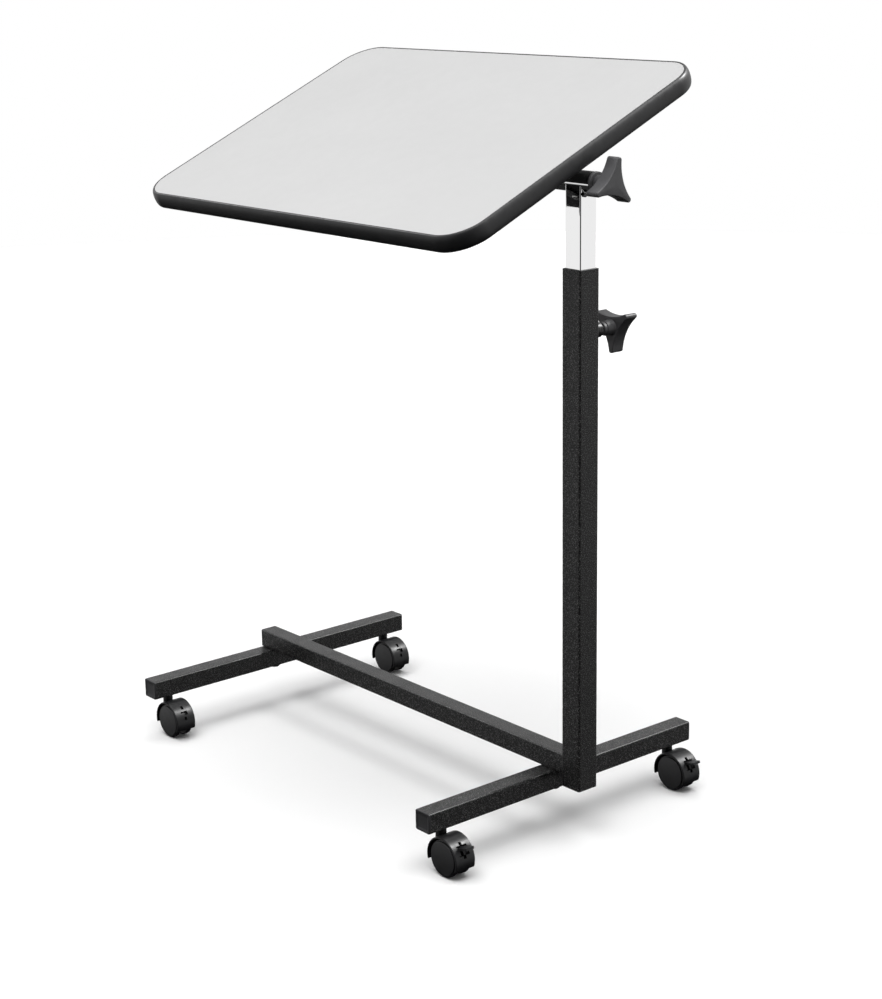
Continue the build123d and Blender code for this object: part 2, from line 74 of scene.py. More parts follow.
# one object from several grids: rows x cols x 3 points each, its doubles merged, facing outwards
def makePiece(name, grids, material, body, stands=(), sharp=35):
    points, faces, start = [], [], 0
    for grid, wrapRows, wrapCols in grids:
        rows, cols = grid.shape[:2]
        points.append(grid.reshape(-1, 3))
        faces.append(gridFaces(rows, cols, wrapRows, wrapCols) + start)
        start += rows * cols
    mesh = bpy.data.meshes.new(name)
    mesh.from_pydata(np.concatenate(points).tolist(), [], np.concatenate(faces).tolist())
    work = bmesh.new()
    work.from_mesh(mesh)
    bmesh.ops.remove_doubles(work, verts=work.verts, dist=1e-7)
    bmesh.ops.dissolve_degenerate(work, edges=work.edges, dist=1e-8)
    bmesh.ops.recalc_face_normals(work, faces=work.faces)
    work.to_mesh(mesh)
    work.free()
    mesh.shade_smooth()
    mesh.set_sharp_from_angle(angle=radians(sharp))
    mesh.materials.append(material)
    piece = bpy.data.objects.new(name, mesh)
    bpy.context.scene.collection.objects.link(piece)
    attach(piece, body)
    if stands:
        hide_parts(*stands)
    return piece


# three unit directions: along the axis, and two across it
def axes(axis, side=(0, 0, 1)):
    along = np.array(axis, float) / np.linalg.norm(axis)
    across = np.array(side, float) - np.dot(side, along) * along
    across /= np.linalg.norm(across)
    return along, across, np.cross(along, across)


# a profile of (distance along the axis, radius), turned about the axis through origin
def lathe(profile, origin, axis, side=(0, 0, 1), cols=72):
    along, across, other = axes(axis, side)
    profile = np.array(profile, float)
    angle = np.arange(cols) * fullTurn / cols
    ring = np.cos(angle)[:, None] * across + np.sin(angle)[:, None] * other
    grid = profile[:, :1, None] * along + profile[:, 1:, None] * ring[None]
    return grid + np.array(origin, float), False, True


# rounds of a profile: an arc of (distance, radius) points about a centre
def roundOff(centre, radius, first, last, count=6):
    angle = arc(first, last, count)
    return np.stack([centre[0] + radius * np.cos(angle), centre[1] + radius * np.sin(angle)], -1)


# a closed rounded rectangle: points and their outward directions, counter-clockwise in its plane
def roundedPath(length, width, corner, cornerSteps=14):
    points, normals = [], []
    for quarter, (sx, sy) in enumerate([(1, 1), (-1, 1), (-1, -1), (1, -1)]):
        angle = arc(90 * quarter, 90 * quarter + 90, cornerSteps)
        out = np.stack([np.cos(angle), np.sin(angle)], -1)
        middle = np.array([sx * (length / 2 - corner), sy * (width / 2 - corner)])
        points.append(middle + corner * out)
        normals.append(out)
    return np.concatenate(points), np.concatenate(normals)


# an outline drawn in by each row's inset and set at its height along an axis
def stack(outline, outward, rows, origin, axis, side):
    along, across, other = axes(axis, side)
    rows = np.array(rows, float)
    flat = outline[None] - rows[:, :1, None] * outward[None]
    grid = rows[:, 1:, None] * along + flat[..., :1] * across + flat[..., 1:] * other
    return grid + np.array(origin, float), False, True


# the same outline shrunk towards the axis: rows of (share of its size, height)
def shrink(outline, rows, origin, axis, side):
    along, across, other = axes(axis, side)
    rows = np.array(rows, float)
    flat = outline[None] * rows[:, :1, None]
    grid = rows[:, 1:, None] * along + flat[..., :1] * across + flat[..., 1:] * other
    return grid + np.array(origin, float), False, True


# a shader with one colour, and the object coordinates that every pattern reads
def startMaterial(name, colour, roughness, metallic=0.0, specular=0.5):
    material = bpy.data.materials.new(name)
    material.use_nodes = True
    material.diffuse_color = (*colour, 1)
    shader = material.node_tree.nodes["Principled BSDF"]
    shader.inputs["Base Color"].default_value = (*colour, 1)
    shader.inputs["Roughness"].default_value = roughness
    shader.inputs["Metallic"].default_value = metallic
    shader.inputs["Specular IOR Level"].default_value = specular
    place = material.node_tree.nodes.new("ShaderNodeTexCoord")
    return material, material.node_tree, shader, place.outputs["Object"]


# a noise of so many waves per metre, stretched along some axes
def noise(tree, place, scale, detail=2.0, stretch=(1, 1, 1)):
    mapping = tree.nodes.new("ShaderNodeMapping")
    mapping.inputs["Scale"].default_value = stretch
    texture = tree.nodes.new("ShaderNodeTexNoise")
    texture.inputs["Scale"].default_value = scale
    texture.inputs["Detail"].default_value = detail
    tree.links.new(place, mapping.inputs["Vector"])
    tree.links.new(mapping.outputs["Vector"], texture.inputs["Vector"])
    return texture.outputs["Fac"]


# a value turned into colours or greys between (position, colour) stops
def ramp(tree, value, stops, target):
    node = tree.nodes.new("ShaderNodeValToRGB")
    while len(node.color_ramp.elements) < len(stops):
        node.color_ramp.elements.new(0.5)
    for element, (position, colour) in zip(node.color_ramp.elements, stops):
        element.position = position
        element.color = (*colour, 1) if isinstance(colour, tuple) else (colour, colour, colour, 1)
    tree.links.new(value, node.inputs["Fac"])
    tree.links.new(node.outputs["Color"], target)


# a height pattern of so many metres, felt by the light alone
def bump(tree, shader, height, strength, distance):
    node = tree.nodes.new("ShaderNodeBump")
    node.inputs["Strength"].default_value = strength
    node.inputs["Distance"].default_value = distance
    tree.links.new(height, node.inputs["Height"])
    tree.links.new(node.outputs["Normal"], shader.inputs["Normal"])


powder = {
    "dark": 0.001,  # hollows of the grain: painted shade
    "middle": 0.009,
    "light": 0.15,  # its peaks: painted highlight speckles
    "grain": 900.0,  # waves per metre
    "bump": 0.75,
    "relief": 0.15 * mm,
}


# grainy black powder coat, with painted highlights on the grain's peaks and painted shade in its hollows
def framePaint():
    material, tree, shader, place = startMaterial("framePaint", (0.012, 0.012, 0.013), 0.5, 0, 0.28)
    grain = noise(tree, place, powder["grain"], 2.5)
    # painted highlight and shade: the colour follows the bump's own grain, lighter on the peaks and darker in the
    # hollows
    ramp(tree, grain, [(0.43, powder["dark"]), (0.54, powder["middle"]), (0.68, powder["light"])],
         shader.inputs["Base Color"])
    ramp(tree, noise(tree, place, 40, 3), [(0.3, 0.31), (0.7, 0.42)], shader.inputs["Roughness"])
    bump(tree, shader, grain, powder["bump"], powder["relief"])
    return material


# polished chrome with a faint waviness
def chromePlate():
    material, tree, shader, place = startMaterial("chromePlate", (0.93, 0.93, 0.93), 0.04, 1.0)
    ramp(tree, noise(tree, place, 25, 4, (1, 1, 0.15)), [(0.3, 0.02), (0.75, 0.07)],
         shader.inputs["Roughness"])
    bump(tree, shader, noise(tree, place, 14, 2), 0.05, 0.3 * mm)
    return material


# moulded black with a fine grain, a little uneven in colour and gloss
def blackPlastic(name, colour, roughness, grain, strength, specular=0.3):
    material, tree, shader, place = startMaterial(name, colour, roughness, 0, specular)
    lighter = tuple(1.35 * c + 0.002 for c in colour)
    ramp(tree, noise(tree, place, 55, 4), [(0.3, colour), (0.75, lighter)], shader.inputs["Base Color"])
    ramp(tree, noise(tree, place, 120, 3), [(0.3, roughness - 0.05), (0.7, roughness + 0.07)],
         shader.inputs["Roughness"])
    bump(tree, shader, noise(tree, place, grain, 2), strength, 0.1 * mm)
    return material


# a pale melamine face with a slight tooth
def whiteLaminate():
    material, tree, shader, place = startMaterial("whiteLaminate", (0.54, 0.54, 0.54), 0.38, 0, 0.35)
    ramp(tree, noise(tree, place, 9, 5), [(0.3, (0.53, 0.53, 0.53)), (0.7, (0.545, 0.545, 0.545))],
         shader.inputs["Base Color"])
    ramp(tree, noise(tree, place, 60, 4), [(0.3, 0.34), (0.7, 0.44)], shader.inputs["Roughness"])
    bump(tree, shader, noise(tree, place, 1400, 2), 0.12, 0.05 * mm)
    return material


# bare metal with dull patches
def plainMetal(name, colour, roughness, spread):
    material, tree, shader, place = startMaterial(name, colour, roughness, 1.0)
    duller = tuple(0.82 * c for c in colour)
    ramp(tree, noise(tree, place, 180, 4), [(0.35, duller), (0.7, colour)], shader.inputs["Base Color"])
    ramp(tree, noise(tree, place, 420, 3), [(0.3, roughness), (0.7, roughness + spread)],
         shader.inputs["Roughness"])
    bump(tree, shader, noise(tree, place, 700, 2), 0.1, 0.05 * mm)
    return material


# wood chips pressed into a board
def chipBoard():
    material, tree, shader, place = startMaterial("chipBoard", (0.5, 0.36, 0.22), 0.85)
    chips = tree.nodes.new("ShaderNodeTexVoronoi")
    chips.inputs["Scale"].default_value = 420
    tree.links.new(place, chips.inputs["Vector"])
    ramp(tree, chips.outputs["Distance"], [(0.1, (0.55, 0.41, 0.26)), (0.7, (0.36, 0.25, 0.15))],
         shader.inputs["Base Color"])
    bump(tree, shader, chips.outputs["Distance"], 0.4, 0.3 * mm)
    return material


finishes = {
    "frame_paint": framePaint(),
    "chrome": chromePlate(),
    "cap_plastic": blackPlastic("capPlastic", (0.022, 0.022, 0.024), 0.42, 900, 0.12),
    "black_steel": blackPlastic("blackSteel", (0.018, 0.018, 0.018), 0.4, 1100, 0.1),
    "zinc_steel": plainMetal("zincSteel", (0.62, 0.62, 0.6), 0.3, 0.15),
    "caster_steel": blackPlastic("casterSteel", (0.016, 0.016, 0.016), 0.32, 800, 0.08),
    "brass": plainMetal("turnedBrass", (0.72, 0.56, 0.3), 0.25, 0.12),
    "knob_plastic": blackPlastic("knobNylon", (0.065, 0.065, 0.068), 0.5, 1500, 0.25, 0.4),
    "board": chipBoard(),
    "laminate": whiteLaminate(),
    "edge_plastic": blackPlastic("edgePlastic", (0.016, 0.016, 0.017), 0.42, 1300, 0.12, 0.32),
    "backing": blackPlastic("backingSheet", (0.03, 0.03, 0.03), 0.6, 600, 0.2),
    "caster_plastic": blackPlastic("casterNylon", (0.008, 0.008, 0.009), 0.38, 1200, 0.08, 0.3),
    "wheel_plastic": blackPlastic("wheelNylon", (0.009, 0.009, 0.01), 0.36, 900, 0.08, 0.4),
}
slotOf = {part["node"]: part["material_slot"] for part in frame["record"]["subparts"]}
for name, node in cadNodes.items():
    node.data.materials.clear()
    node.data.materials.append(finishes[slotOf[name]])
print("materials made:", len(finishes))


pivot = np.array(joints["table_tilt"]["pos_m"])
tableUp = np.array(frame["record"]["mounts"][0]["axis"])  # square to the tilted top
tableSide = np.cross(tableUp, (1.0, 0, 0))
topMiddle = np.array(frame["record"]["mounts"][0]["pos_m"])


# points given along X, across the table and up from its top surface
def onTable(x, y, z):
    x, y, z = np.broadcast_arrays(x, y, z)
    along = x[..., None] * np.array([1.0, 0, 0])
    return topMiddle + along + y[..., None] * tableSide + z[..., None] * tableUp


edging = {
    "length": 621 * mm,
    "width": 402 * mm,
    "corner": 44 * mm,  # outside radius of the top's corners
    "thickness": 20 * mm,  # of the board with its laminate
    "seat": 3.58 * mm,  # how deep the moulding sits on the board's edge
    "lip": 0.4 * mm,  # how far it stands past each face
    "hem": 1.3 * mm,  # its black cover over the laminate: painted shade standing in for the shaded groove between laminate and band
    "hemGap": 0.03 * mm,
    "squareness": 2.1,  # power of the superellipse
    "turn": 84,  # degrees each way
    "rows": 33,
    "cornerSteps": 40,
}


# a superellipse section (outward offset, height) carried round the board's edge at its outward directions
def edgeBand():
    e = edging
    path, out = roundedPath(e["length"], e["width"], e["corner"], e["cornerSteps"])
    half = e["thickness"] / 2 + e["lip"]
    turn, power = arc(-e["turn"], e["turn"], e["rows"]), 2 / e["squareness"]
    offset = e["seat"] * (np.cos(turn) ** power - 1)
    height = half * np.sign(turn) * np.abs(np.sin(turn)) ** power
    # the hem is a black strip over the laminate's rim, painted shade where the groove between laminate and band
    # falls
    inner, hem = -e["seat"], -e["seat"] - e["hem"]
    rest = half - e["lip"] + e["hemGap"]
    offset = np.concatenate([[inner, inner], offset, [hem + e["lip"] / 2, hem, hem, inner]])
    height = np.concatenate([[0, -half], height, [half, half - e["lip"] / 2, rest, rest]])
    points = path[:, None, :] + out[:, None, :] * offset[None, :, None]
    level = np.broadcast_to(height - e["thickness"] / 2, points.shape[:2])
    grid = onTable(points[..., 0], points[..., 1], level)
    return makePiece("edge_moulding", [(grid, True, True)], finishes["edge_plastic"], "table",
                     ["edge_band"], sharp=60)


edgeBand()
print("edge band made")


knob = {
    "reach": 30 * mm,  # axis to a lobe's tip
    "tip": 3.2 * mm,
    "waist": 12 * mm,  # axis to the hollow between two lobes
    "thickness": 18 * mm,
    "frontRound": 1.3 * mm,
    "backRound": 0.9 * mm,
    "hub": 8.5 * mm,
    "hubLength": 10.5 * mm,
    "dish": 0.5 * mm,  # hollow of the front face
    "bore": 4.02 * mm,
    "rim": 0.6 * mm,
    "sunk": 0.5 * mm,  # the hub's root inside the lobes
    "flare": 1.6 * mm,
    "heightTurn": 152,  # where the first lobe points
    "tiltTurn": 54,
}


# outline of round tips joined by hollow sides, as points and outward directions
def knobOutline():
    tipCentre = knob["reach"] - knob["tip"]
    waist = knob["waist"] - knob["tip"]
    hollowCentre = (tipCentre**2 - waist**2) / (tipCentre - 2 * waist)
    hollowRadius = hollowCentre - knob["waist"]
    tip = np.array([tipCentre, 0.0])
    hollow = hollowCentre * np.array([0.5, sin(radians(60))])
    toHollow = np.degrees(np.arctan2(*(hollow - tip)[::-1]))
    tipAngle = arc(-toHollow, toHollow, 22)
    tipOut = np.stack([np.cos(tipAngle), np.sin(tipAngle)], -1)
    sideAngle = arc(toHollow + 180, 300 - toHollow, 28)[1:-1]
    sideRay = np.stack([np.cos(sideAngle), np.sin(sideAngle)], -1)
    points = np.concatenate([tip + knob["tip"] * tipOut, hollow + hollowRadius * sideRay])
    outward = np.concatenate([tipOut, -sideRay])
    allPoints, allOut = [], []
    for lobe in range(3):
        turn = np.array([[cos(lobe * fullTurn / 3), sin(lobe * fullTurn / 3)],
                         [-sin(lobe * fullTurn / 3), cos(lobe * fullTurn / 3)]])
        allPoints.append(points @ turn)
        allOut.append(outward @ turn)
    return np.concatenate(allPoints), np.concatenate(allOut)


# the outline carried up through (inset, height) rows, then both faces drawn in towards the axis
def handKnob(name, start, axis, side, body, stands):
    along, across, other = axes(axis, side)
    outline, outward = knobOutline()
    top = knob["hubLength"] + knob["thickness"]
    back, front = knob["backRound"], knob["frontRound"]
    low, high = arc(0, 90, 6), arc(0, 90, 8)
    inset = np.concatenate([back * (1 - np.sin(low)), front * (1 - np.cos(high))])
    height = np.concatenate([knob["hubLength"] + back * (1 - np.cos(low)),
                             top - knob["dish"] - front + front * np.sin(high)])
    walls = outline[None] - inset[:, None, None] * outward[None]
    share = np.array([0.9, 0.75, 0.55, 0.35, 0.18, 0.06, 0.0])
    face = walls[-1][None] * share[:, None, None]
    faceHeight = top - knob["dish"] * share**2
    rear = walls[0][None] * np.array([0.3, 0.6, 0.9])[:, None, None]
    flat = np.concatenate([rear, walls, face])
    level = np.concatenate([np.full(3, knob["hubLength"]), height, faceHeight])
    grid = (np.array(start) + level[:, None, None] * along
            + flat[..., :1] * across + flat[..., 1:] * other)
    hub, rim, bore, deep = knob["hub"], knob["rim"], knob["bore"], knob["hubLength"] + knob["sunk"]
    sleeve = [(0, bore), (0, hub - rim), (0.15 * rim, hub - 0.4 * rim), (rim, hub),
              (0.72 * knob["hubLength"], hub), (0.86 * knob["hubLength"], hub + knob["sunk"]),
              (deep, hub + knob["flare"]), (deep, bore)]
    return makePiece(name, [(grid, False, True), lathe(sleeve, start, axis, side)],
                     finishes["knob_plastic"], body, stands)


# the direction of a knob's first lobe, turned from one axis towards another
def lobeSide(angle, first, second):
    return cos(radians(angle)) * np.array(first, float) + sin(radians(angle)) * np.array(second, float)


clampPlace = np.array(joints["height_knob_turn"]["pos_m"])
heightHub = np.array([mastX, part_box("height_knob")[0].y, clampPlace[2]])
tiltHub = np.array([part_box("tilt_knob")[0].x, mastY, pivot[2]])
handKnob("height_grip", heightHub, (0, 1, 0), lobeSide(knob["heightTurn"], (1, 0, 0), (0, 0, 1)),
         "height_knob", ["height_knob"])
handKnob("tilt_grip", tiltHub, (1, 0, 0), lobeSide(knob["tiltTurn"], tableSide, tableUp), "tilt_knob",
         ["tilt_knob"])
print("knobs made")


thread = {
    "radius": 4 * mm,
    "pitch": 1.25 * mm,
    "depth": 0.65 * mm,
    "chamfer": 0.8 * mm,
    "steep": 1.25,  # flank steepness
    "crest": 0.12,  # flat on the crest
}


# radius falls by the thread's depth with a rounded triangle wave of (distance / pitch - angle / turn)
def threadedStud(name, start, axis, length, body, stands, cols=36, perTurn=8):
    along, across, other = axes(axis)
    rows = int(length / thread["pitch"] * perTurn)
    distance = np.linspace(0, length, rows)
    angle = np.arange(cols) * fullTurn / cols
    phase = (distance[:, None] / thread["pitch"] - angle[None] / fullTurn) % 1.0
    dip = thread["depth"] * np.clip(np.abs(2 * phase - 1) * thread["steep"] - thread["crest"], 0, 1)
    fromEnd = np.minimum(distance, length - distance)
    radius = np.minimum(thread["radius"] - dip,
                        thread["radius"] - thread["chamfer"] + fromEnd[:, None])
    ring = np.cos(angle)[:, None] * across + np.sin(angle)[:, None] * other
    grid = distance[:, None, None] * along + radius[..., None] * ring[None]
    ends = np.zeros((1, cols, 3))
    grid = np.concatenate([ends, grid, ends + length * along]) + np.array(start, float)
    return makePiece(name, [(grid, False, True)], finishes["chrome"], body, stands, sharp=60)


for name, axis in (("height_stud", (0, 1, 0)), ("tilt_stud", (1, 0, 0))):
    low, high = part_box(name)
    middle = np.array((low + high) / 2)
    size = np.dot(high - low, axis)
    threadedStud(name.replace("stud", "thread"), middle - size / 2 * np.array(axis), axis, size,
                 name.replace("stud", "knob"), [name])
print("studs made")


wheel = {
    "radius": 23 * mm,
    "tyreRound": 1.5 * mm,
    "bore": 3.1 * mm,
    "shoulder": 2.6 * mm,  # step from the tread's side out to the disc's crown
    "disc": 21.0 * mm,
    "discRound": 0.9 * mm,
    "discGap": 0.1 * mm,
    "dome": 0.9 * mm,
    "skin": 1.6 * mm,
    "seam": 0.25 * mm,  # mould line round the tread
}


# the wheel's section turned about its axle: tread with a fine seam, a shoulder, then a domed disc
def casterWheel(name, centre, side):
    low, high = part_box(name)
    inner = min(abs(low.y - centre[1]), abs(high.y - centre[1]))
    width = high.y - low.y
    r, c, seam = wheel["radius"], wheel["tyreRound"], wheel["seam"]
    outer = inner + width
    middle, step = inner + (width - wheel["shoulder"]) / 2, outer - wheel["shoulder"]
    profile = [(outer - wheel["skin"], 0), (outer - wheel["skin"], wheel["bore"]), (inner, wheel["bore"])]
    profile += roundOff((inner + c, r - c), c, 180, 90).tolist()
    profile += [(middle - seam, r), (middle, r - seam), (middle + seam, r)]
    profile += roundOff((step - c, r - c), c, 90, 10).tolist()
    profile += [(step, wheel["disc"] + wheel["discGap"])]
    edge, rim = wheel["discRound"], outer - wheel["dome"]
    profile += roundOff((rim - edge, wheel["disc"] - edge), edge, 90, 12).tolist()
    reach = np.linspace(wheel["disc"] - edge, 0, 14)
    dome = outer - wheel["dome"] * (reach / reach[0]) ** 2.0
    profile += np.stack([dome, reach], -1).tolist()
    return makePiece(name.replace("wheel", "tyre"), [lathe(profile, centre, (0, side, 0), cols=96)],
                     finishes["wheel_plastic"], name, [name], sharp=40)


for corner in ("near_left", "near_right", "far_left", "far_right"):
    for letter, side in (("a", -1), ("b", 1)):
        casterWheel(f"{corner}_wheel_{letter}", joints[f"{corner}_roll_{letter}"]["pos_m"], side)
print("wheels made")


bead = {
    "radius": 1.5 * mm,
    "ripple": 0.12,
    "pitch": 1.7 * mm,
    "boss": 9.2 * mm,  # ring round the clamp's boss
    "collar": 11.6 * mm,
    "collarBead": 1.2 * mm,
    "saddle": 12.6 * mm,  # under the sleeve on both sides of the post
    "saddleBead": 0.7 * mm,
    "saddleTurn": (112, 248),
    "seamSide": 25.6 * mm,  # square round the spine's end
    "seamCorner": 2.4 * mm,
    "seamBead": 1.6 * mm,
}


# a round section carried along a path, its radius rippling along the way; open ends taper to a point
def weldBead(name, path, closed, body, slotName, radius=bead["radius"]):
    step = np.roll(path, -1, 0) - np.roll(path, 1, 0)
    if not closed:
        step[0], step[-1] = path[1] - path[0], path[-1] - path[-2]
    step /= np.linalg.norm(step, axis=1)[:, None]
    middle = path.mean(0)
    out = path - middle
    out -= (out * step).sum(1)[:, None] * step
    out /= np.linalg.norm(out, axis=1)[:, None]
    up = np.cross(step, out)
    run = np.concatenate([[0], np.cumsum(np.linalg.norm(np.diff(path, axis=0), axis=1))])
    size = radius * (1 + bead["ripple"] * np.sin(fullTurn * run / bead["pitch"]))
    if not closed:
        size *= np.sqrt(np.clip(np.minimum(run, run[-1] - run) / (2 * radius), 0, 1))
    angle = arc(0, 360, 11)[:-1]
    ring = np.cos(angle)[None, :, None] * out[:, None] + np.sin(angle)[None, :, None] * up[:, None]
    grid = path[:, None] + size[:, None, None] * ring
    return makePiece(name, [(grid, closed, True)], finishes[slotName], body, sharp=80)


# a ring, or part of one, about an axis
def ringPath(centre, axis, radius, first=0, last=360, count=120):
    along, across, other = axes(axis)
    angle = arc(first, last, count + 1)
    angle = angle[:-1] if last - first == 360 else angle
    ring = np.cos(angle)[:, None] * across + np.sin(angle)[:, None] * other
    return np.array(centre, float) + radius * ring


bossLow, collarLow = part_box("clamp_boss")[0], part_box("thrust_collar")[0]
postLow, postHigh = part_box("inner_post")
spineLow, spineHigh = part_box("spine_tube")
weldBead("boss_weld", ringPath((mastX, bossLow.y, clampPlace[2]), (0, 1, 0), bead["boss"]), True, "base",
         "frame_paint")
weldBead("collar_weld", ringPath((collarLow.x, mastY, pivot[2]), (1, 0, 0), bead["collar"]), True, "table",
         "frame_paint", bead["collarBead"])
for place, label in ((postLow.x, "far"), (postHigh.x, "near")):
    path = ringPath((place, mastY, pivot[2]), (1, 0, 0), bead["saddle"], *bead["saddleTurn"])
    weldBead(f"saddle_weld_{label}", path, False, "post", "chrome", bead["saddleBead"])
seam = roundedPath(bead["seamSide"], bead["seamSide"], bead["seamCorner"], 10)[0]
seam = np.concatenate([np.linspace(a, b, 16)[:-1] for a, b in zip(seam, np.roll(seam, -1, 0))])
along, across, other = axes((1, 0, 0))
spineEnd = np.array([spineHigh.x, mastY, (spineLow.z + spineHigh.z) / 2])
weldBead("spine_weld", spineEnd + seam[:, :1] * across + seam[:, 1:] * other, True, "base", "frame_paint",
         bead["seamBead"])
print("welds made")


cap = {
    "side": 25.0 * mm,
    "corner": 2.4 * mm,
    "flange": 2.5 * mm,
    "edge": 0.8 * mm,
    "border": 3.2 * mm,  # raised rim round the dish
    "slope": ((0.8, 0), (1, 0.35), (1.25, 0.8)),  # shares of the border and of the dish, down the slope
    "floor": 0.35,  # share of the side that is flat
    "dish": 0.9 * mm,
    "wall": 1.5 * mm,
    "skirt": 12 * mm,
    "skirtWall": 1.6 * mm,
}


# a rounded square carried through (inset, height) rows: skirt, flange, rounded edge, then a dished face
def footCap(centre, side):
    c, turn, axis, up = cap, arc(0, 90, 6), (0, side, 0), (0, 0, 1)
    outline, outward = roundedPath(c["side"], c["side"], c["corner"], 7)
    inner, floor = c["wall"] + c["skirtWall"], c["flange"] - c["dish"]
    rows = [(inner, 0), (inner, -c["skirt"]), (c["wall"], -c["skirt"]), (c["wall"], 0), (0, 0)]
    rows += [(c["edge"] * (1 - cos(a)), c["flange"] - c["edge"] * (1 - sin(a))) for a in turn]
    rows += [(c["border"] * inward, c["flange"] - down * c["dish"]) for inward, down in c["slope"]]
    wall = stack(outline, outward, rows, centre, axis, up)
    inside = 1 - 2 * rows[-1][0] / c["side"]
    face = shrink(outline, [(inside, rows[-1][1]), (c["floor"], floor), (0, floor)], centre, axis, up)
    back = shrink(outline, [(0, 0), (1 - 2 * inner / c["side"], 0)], centre, axis, up)
    return [back, wall, face]


caps = []
for tube in ("near_foot_tube", "far_foot_tube"):
    low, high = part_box(tube)
    for side, end in ((-1, low.y), (1, high.y)):
        caps += footCap(((low.x + high.x) / 2, end, (low.z + high.z) / 2), side)
makePiece("foot_cap_mouldings", caps, finishes["cap_plastic"], "base", ["foot_end_caps"],
          sharp=50)
print("foot caps made")


driver = {"crossWidth": 0.16, "wall": 0.12, "crown": 2.6, "steps": 72}  # shares of the socket; dome's power
armScrew = {"radius": 4 * mm, "height": 2.4 * mm, "socket": 2.1 * mm, "depth": 1.3 * mm, "shape": "cross",
            "shank": 2 * mm, "length": 16 * mm, "level": -23 * mm, "places": (-120 * mm, -450 * mm),
            "holes": (-135 * mm, -60 * mm, 60 * mm, 135 * mm)}
strapScrew = {"radius": 4.4 * mm, "height": 2.4 * mm, "socket": 2.3 * mm, "depth": 1.3 * mm, "shape": "cross",
              "shank": 2.5 * mm, "length": 7 * mm, "level": -33.9 * mm, "places": (-165 * mm, -405 * mm),
              "holes": (-17.95 * mm, 17.95 * mm)}
boltLow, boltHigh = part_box("foot_bolts")
footBolt = {"radius": 7.2 * mm, "height": 4 * mm, "socket": 2.5 * mm, "depth": 2.2 * mm, "shape": "hex",
            "shank": 4 * mm, "length": boltHigh.z - boltLow.z - 4 * mm}


# a dome of revolution, sunk where a cross (or a hexagon) of its driver falls: (distance, angle) grid
def drivenHead(screw, origin, axis, side):
    radius, socket = screw["radius"], screw["socket"]
    along, across, other = axes(axis, side)
    angle = np.arange(driver["steps"]) * fullTurn / driver["steps"]
    reach = radius * np.concatenate([np.linspace(0, 0.62, 16), [0.72, 0.82, 0.9, 0.96, 0.99, 1.0]])
    dome = screw["height"] * np.sqrt(np.clip(1 - (reach / radius) ** driver["crown"], 0, 1))
    x, y = reach[:, None] * np.cos(angle), reach[:, None] * np.sin(angle)
    if screw["shape"] == "cross":
        inside = np.minimum(np.abs(x), np.abs(y)) - driver["crossWidth"] * socket
        inside = np.maximum(inside, np.hypot(x, y) - socket)
    else:
        inside = np.max([np.abs(x * cos(t) + y * sin(t)) for t in (0, pi / 3, 2 * pi / 3)], 0) - socket
    level = dome[:, None] - screw["depth"] * np.clip(-inside / (driver["wall"] * socket) + 0.5, 0, 1)
    top = level[..., None] * along + x[..., None] * across + y[..., None] * other + np.array(origin, float)
    shank, length = screw["shank"], screw["length"]
    rest = lathe([(0, radius), (0, shank), (-length, shank), (-length, 0)], origin, axis, side)
    return [(top, False, True), rest]


# a row of screws up into the board, at places from the mast and on both sides of the table's middle
def screwsUnder(name, screw, twist, replaced):
    heads = []
    for place in screw["places"]:
        for hole in screw["holes"]:
            middle = onTable(np.array(mastX + place - topMiddle[0]), np.array(hole), np.array(screw["level"]))
            heads += drivenHead(screw, middle, -tableUp, (1, twist * np.sign(hole), 0))
    makePiece(name, heads, finishes["zinc_steel"], "table", [replaced], sharp=50)


screwsUnder("arm_screw_heads", armScrew, 0.2, "arm_screws")
screwsUnder("strap_screw_heads", strapScrew, -0.5, "strap_screws")
boltHeads = []
for tube in ("near_foot_tube", "far_foot_tube"):
    low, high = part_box(tube)
    middle = ((low.x + high.x) / 2, mastY, boltLow.z + footBolt["height"])
    boltHeads += drivenHead(footBolt, middle, (0, 0, -1), (1, 0, 0))
makePiece("foot_bolt_heads", boltHeads, finishes["black_steel"], "base", ["foot_bolts"],
          sharp=50)
print("screws made")


rib = {
    "length": 9 * mm,
    "width": 11 * mm,
    "height": 0.4 * mm,
    "count": 5,
    "start": 10 * mm,  # from the lever's pin
    "level": 2.35 * mm,
    "under": 0.3 * mm,
    "lift": 14,  # degrees above level at rest
}


# a thin plate whose upper face is a row of rounded ribs, |sin| of the distance along the tab
def gripRibs(corner):
    pin = np.array(joints[f"{corner}_brake"]["pos_m"])
    out = np.array([cos(radians(rib["lift"])), 0, sin(radians(rib["lift"]))])
    up = np.array([-out[2], 0, out[0]])
    share, across = np.linspace(0, 1, 61), np.array([-1, -0.94, -0.8, 0, 0.8, 0.94, 1])
    wave = np.abs(np.sin(pi * rib["count"] * share))
    ridge = rib["height"] * wave[:, None] * np.sqrt(1 - across**2)[None]
    reach = (rib["start"] + rib["length"] * share)[:, None, None] * out
    side = across[None, :, None] * np.array([0, rib["width"] / 2, 0])
    top = pin + reach + side + (rib["level"] + ridge)[..., None] * up
    bottom = pin + reach + side + (rib["level"] - rib["under"]) * up
    grid = np.concatenate([top, bottom[:, ::-1]], 1)
    ends = [np.repeat(grid[i].mean(0)[None], grid.shape[1], 0)[None] for i in (0, -1)]
    makePiece(f"{corner}_lever_ribs", [(np.concatenate([ends[0], grid, ends[1]]), False, True)],
              finishes["caster_plastic"], f"{corner}_brake_lever", sharp=50)


for corner in ("near_left", "near_right"):
    gripRibs(corner)
print("lever ribs made")


view = {
    "place": (1.64522538, -1.57581462, 1.04869813),
    "azimuth": 50.2517,
    "elevation": 15.3694,
    "roll": -0.9179,
    "lens": 73.997,
    "sensor": 36.0,
    "clipEnd": 50,
}


